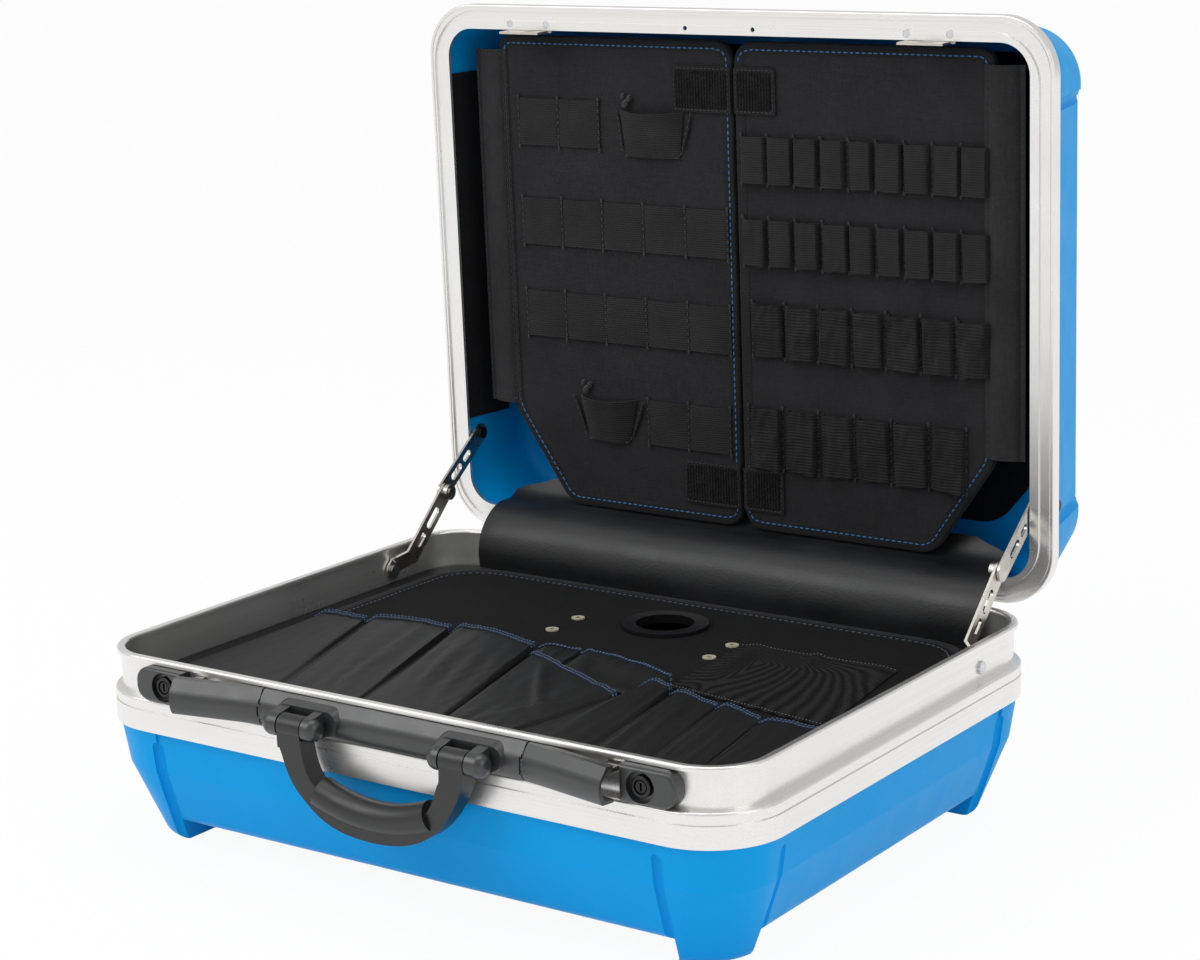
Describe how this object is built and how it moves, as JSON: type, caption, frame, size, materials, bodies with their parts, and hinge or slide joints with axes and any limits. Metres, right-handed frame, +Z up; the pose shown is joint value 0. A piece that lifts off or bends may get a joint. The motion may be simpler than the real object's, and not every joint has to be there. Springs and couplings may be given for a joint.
{
  "type": "hard tool case",
  "caption": "Open hard tool case: blue plastic base and lid in aluminium frames, folding stays, latch levers, carrying handle, tool doors and a lift-out pallet.",
  "frame": {"origin": "on the floor under the middle of the whole open case", "axes": "+X to the right of someone opening the case, +Y to the hinges, +Z up"},
  "size_m": [0.48, 0.4798, 0.4997],
  "materials": {
    "shell": "satin",
    "alu": "brushed",
    "hardware": "satin",
    "steel": "nickelled",
    "dark_steel": "blackened",
    "lining": "woven",
    "webbing": "woven tape",
    "board": "woven over board",
    "mesh": "mesh",
    "cover": "coated cloth",
    "ring": "gloss",
    "eyelet": "plated"
  },
  "bodies": {
    "base": {"base_shell": "shell", "base_frame": "alu", "base_liner": "lining", "latch_plate": "hardware", "lever_pins": "steel", "handle_lugs": "hardware", "handle_pins": "steel", "lock_housing_left": "hardware", "lock_housing_right": "hardware", "hinge_base_leaves": "steel", "hinge_pins": "steel", "hinge_base_rivets": "steel", "stay_base_rivets": "steel"},
    "lid": {"lid_shell": "shell", "lid_frame": "alu", "lid_panel_left": "lining", "lid_panel_right": "lining", "lid_back_lining": "lining", "door_spine_left": "board", "door_spine_right": "board", "hinge_cover": "cover", "hinge_lid_leaves": "steel", "hinge_lid_rivets": "steel", "strike_left": "steel", "strike_right": "steel", "strike_screws": "steel", "stay_screws": "dark_steel"},
    "door_left": {"door_left": "board", "left_row_1": "webbing", "left_row_2": "webbing", "left_row_3": "webbing", "left_row_4": "webbing", "holster_pouches": "board", "straps_left": "webbing"},
    "door_right": {"door_right": "board", "right_row_1": "webbing", "right_row_2": "webbing", "right_row_3": "webbing", "right_row_4": "webbing", "straps_right": "webbing"},
    "pallet": {"pallet_board": "board", "pallet_grommet": "ring", "pallet_eyelets": "eyelet", "pockets_left": "webbing", "pockets_rear": "webbing", "pockets_middle": "webbing", "pockets_right": "webbing", "mesh_pocket": "mesh"},
    "lever_left": {"lever_left": "hardware", "lever_hook_left": "steel"},
    "lever_right": {"lever_right": "hardware", "lever_hook_right": "steel"},
    "lock_left": {"lock_barrel_left": "dark_steel"},
    "lock_right": {"lock_barrel_right": "dark_steel"},
    "handle": {"handle": "hardware"},
    "stay_lower_left": {"stay_lower_left": "steel"},
    "stay_lower_right": {"stay_lower_right": "steel"},
    "stay_upper_left": {"stay_upper_left": "steel"},
    "stay_upper_right": {"stay_upper_right": "steel"}
  },
  "joints": [
    {"name": "lid_hinge", "type": "hinge", "parent": "base", "child": "lid", "pos_m": [0, 0.164, 0.1195], "axis": [-1, 0, 0], "range_deg": [-88, 0], "deforming": ["hinge_cover"]},
    {"name": "door_left_swing", "type": "hinge", "parent": "lid", "child": "door_left", "pos_m": [-0.1932, 0.17659, 0.33207], "axis": [0, 0.0349, -0.9994], "range_deg": [0, 107]},
    {"name": "door_right_swing", "type": "hinge", "parent": "lid", "child": "door_right", "pos_m": [0.1932, 0.17659, 0.33207], "axis": [0, -0.0349, 0.9994], "range_deg": [0, 107]},
    {"name": "pallet_lift", "type": "slide", "parent": "base", "child": "pallet", "axis": [0, 0, 1], "range_m": [0, 0.09]},
    {"name": "lever_left_turn", "type": "hinge", "parent": "base", "child": "lever_left", "pos_m": [-0.0914, -0.2186, 0.108], "axis": [0, 0, 1], "range_deg": [-11, 58]},
    {"name": "lever_right_turn", "type": "hinge", "parent": "base", "child": "lever_right", "pos_m": [0.1014, -0.2186, 0.108], "axis": [0, 0, -1], "range_deg": [-11, 58]},
    {"name": "lock_left_turn", "type": "hinge", "parent": "base", "child": "lock_left", "pos_m": [-0.1695, -0.214, 0.1098], "axis": [0, 1, 0], "range_deg": [0, 90]},
    {"name": "lock_right_turn", "type": "hinge", "parent": "base", "child": "lock_right", "pos_m": [0.1795, -0.214, 0.1098], "axis": [0, 1, 0], "range_deg": [0, 90]},
    {"name": "handle_swing", "type": "hinge", "parent": "base", "child": "handle", "pos_m": [0.005, -0.23, 0.108], "axis": [-1, 0, 0], "range_deg": [0, 95]},
    {"name": "stay_lower_left_turn", "type": "hinge", "parent": "base", "child": "stay_lower_left", "pos_m": [-0.228, 0.0805, 0.1075], "axis": [-1, 0, 0], "range_deg": [-76.22, 0]},
    {"name": "stay_upper_left_turn", "type": "hinge", "parent": "lid", "child": "stay_upper_left", "pos_m": [-0.2217, 0.17795, 0.19003], "axis": [-1, 0, 0], "range_deg": [0, 158.99]},
    {"name": "stay_lower_right_turn", "type": "hinge", "parent": "base", "child": "stay_lower_right", "pos_m": [0.228, 0.0805, 0.1075], "axis": [-1, 0, 0], "range_deg": [-76.22, 0]},
    {"name": "stay_upper_right_turn", "type": "hinge", "parent": "lid", "child": "stay_upper_right", "pos_m": [0.2217, 0.17795, 0.19003], "axis": [-1, 0, 0], "range_deg": [0, 158.99]}
  ],
  "couplings": [
    {"joint": "stay_lower_left_turn", "follows": "lid_hinge", "ratio": 0.86606},
    {"joint": "stay_upper_left_turn", "follows": "lid_hinge", "ratio": -1.8066},
    {"joint": "stay_lower_right_turn", "follows": "lid_hinge", "ratio": 0.86606},
    {"joint": "stay_upper_right_turn", "follows": "lid_hinge", "ratio": -1.8066}
  ]
}
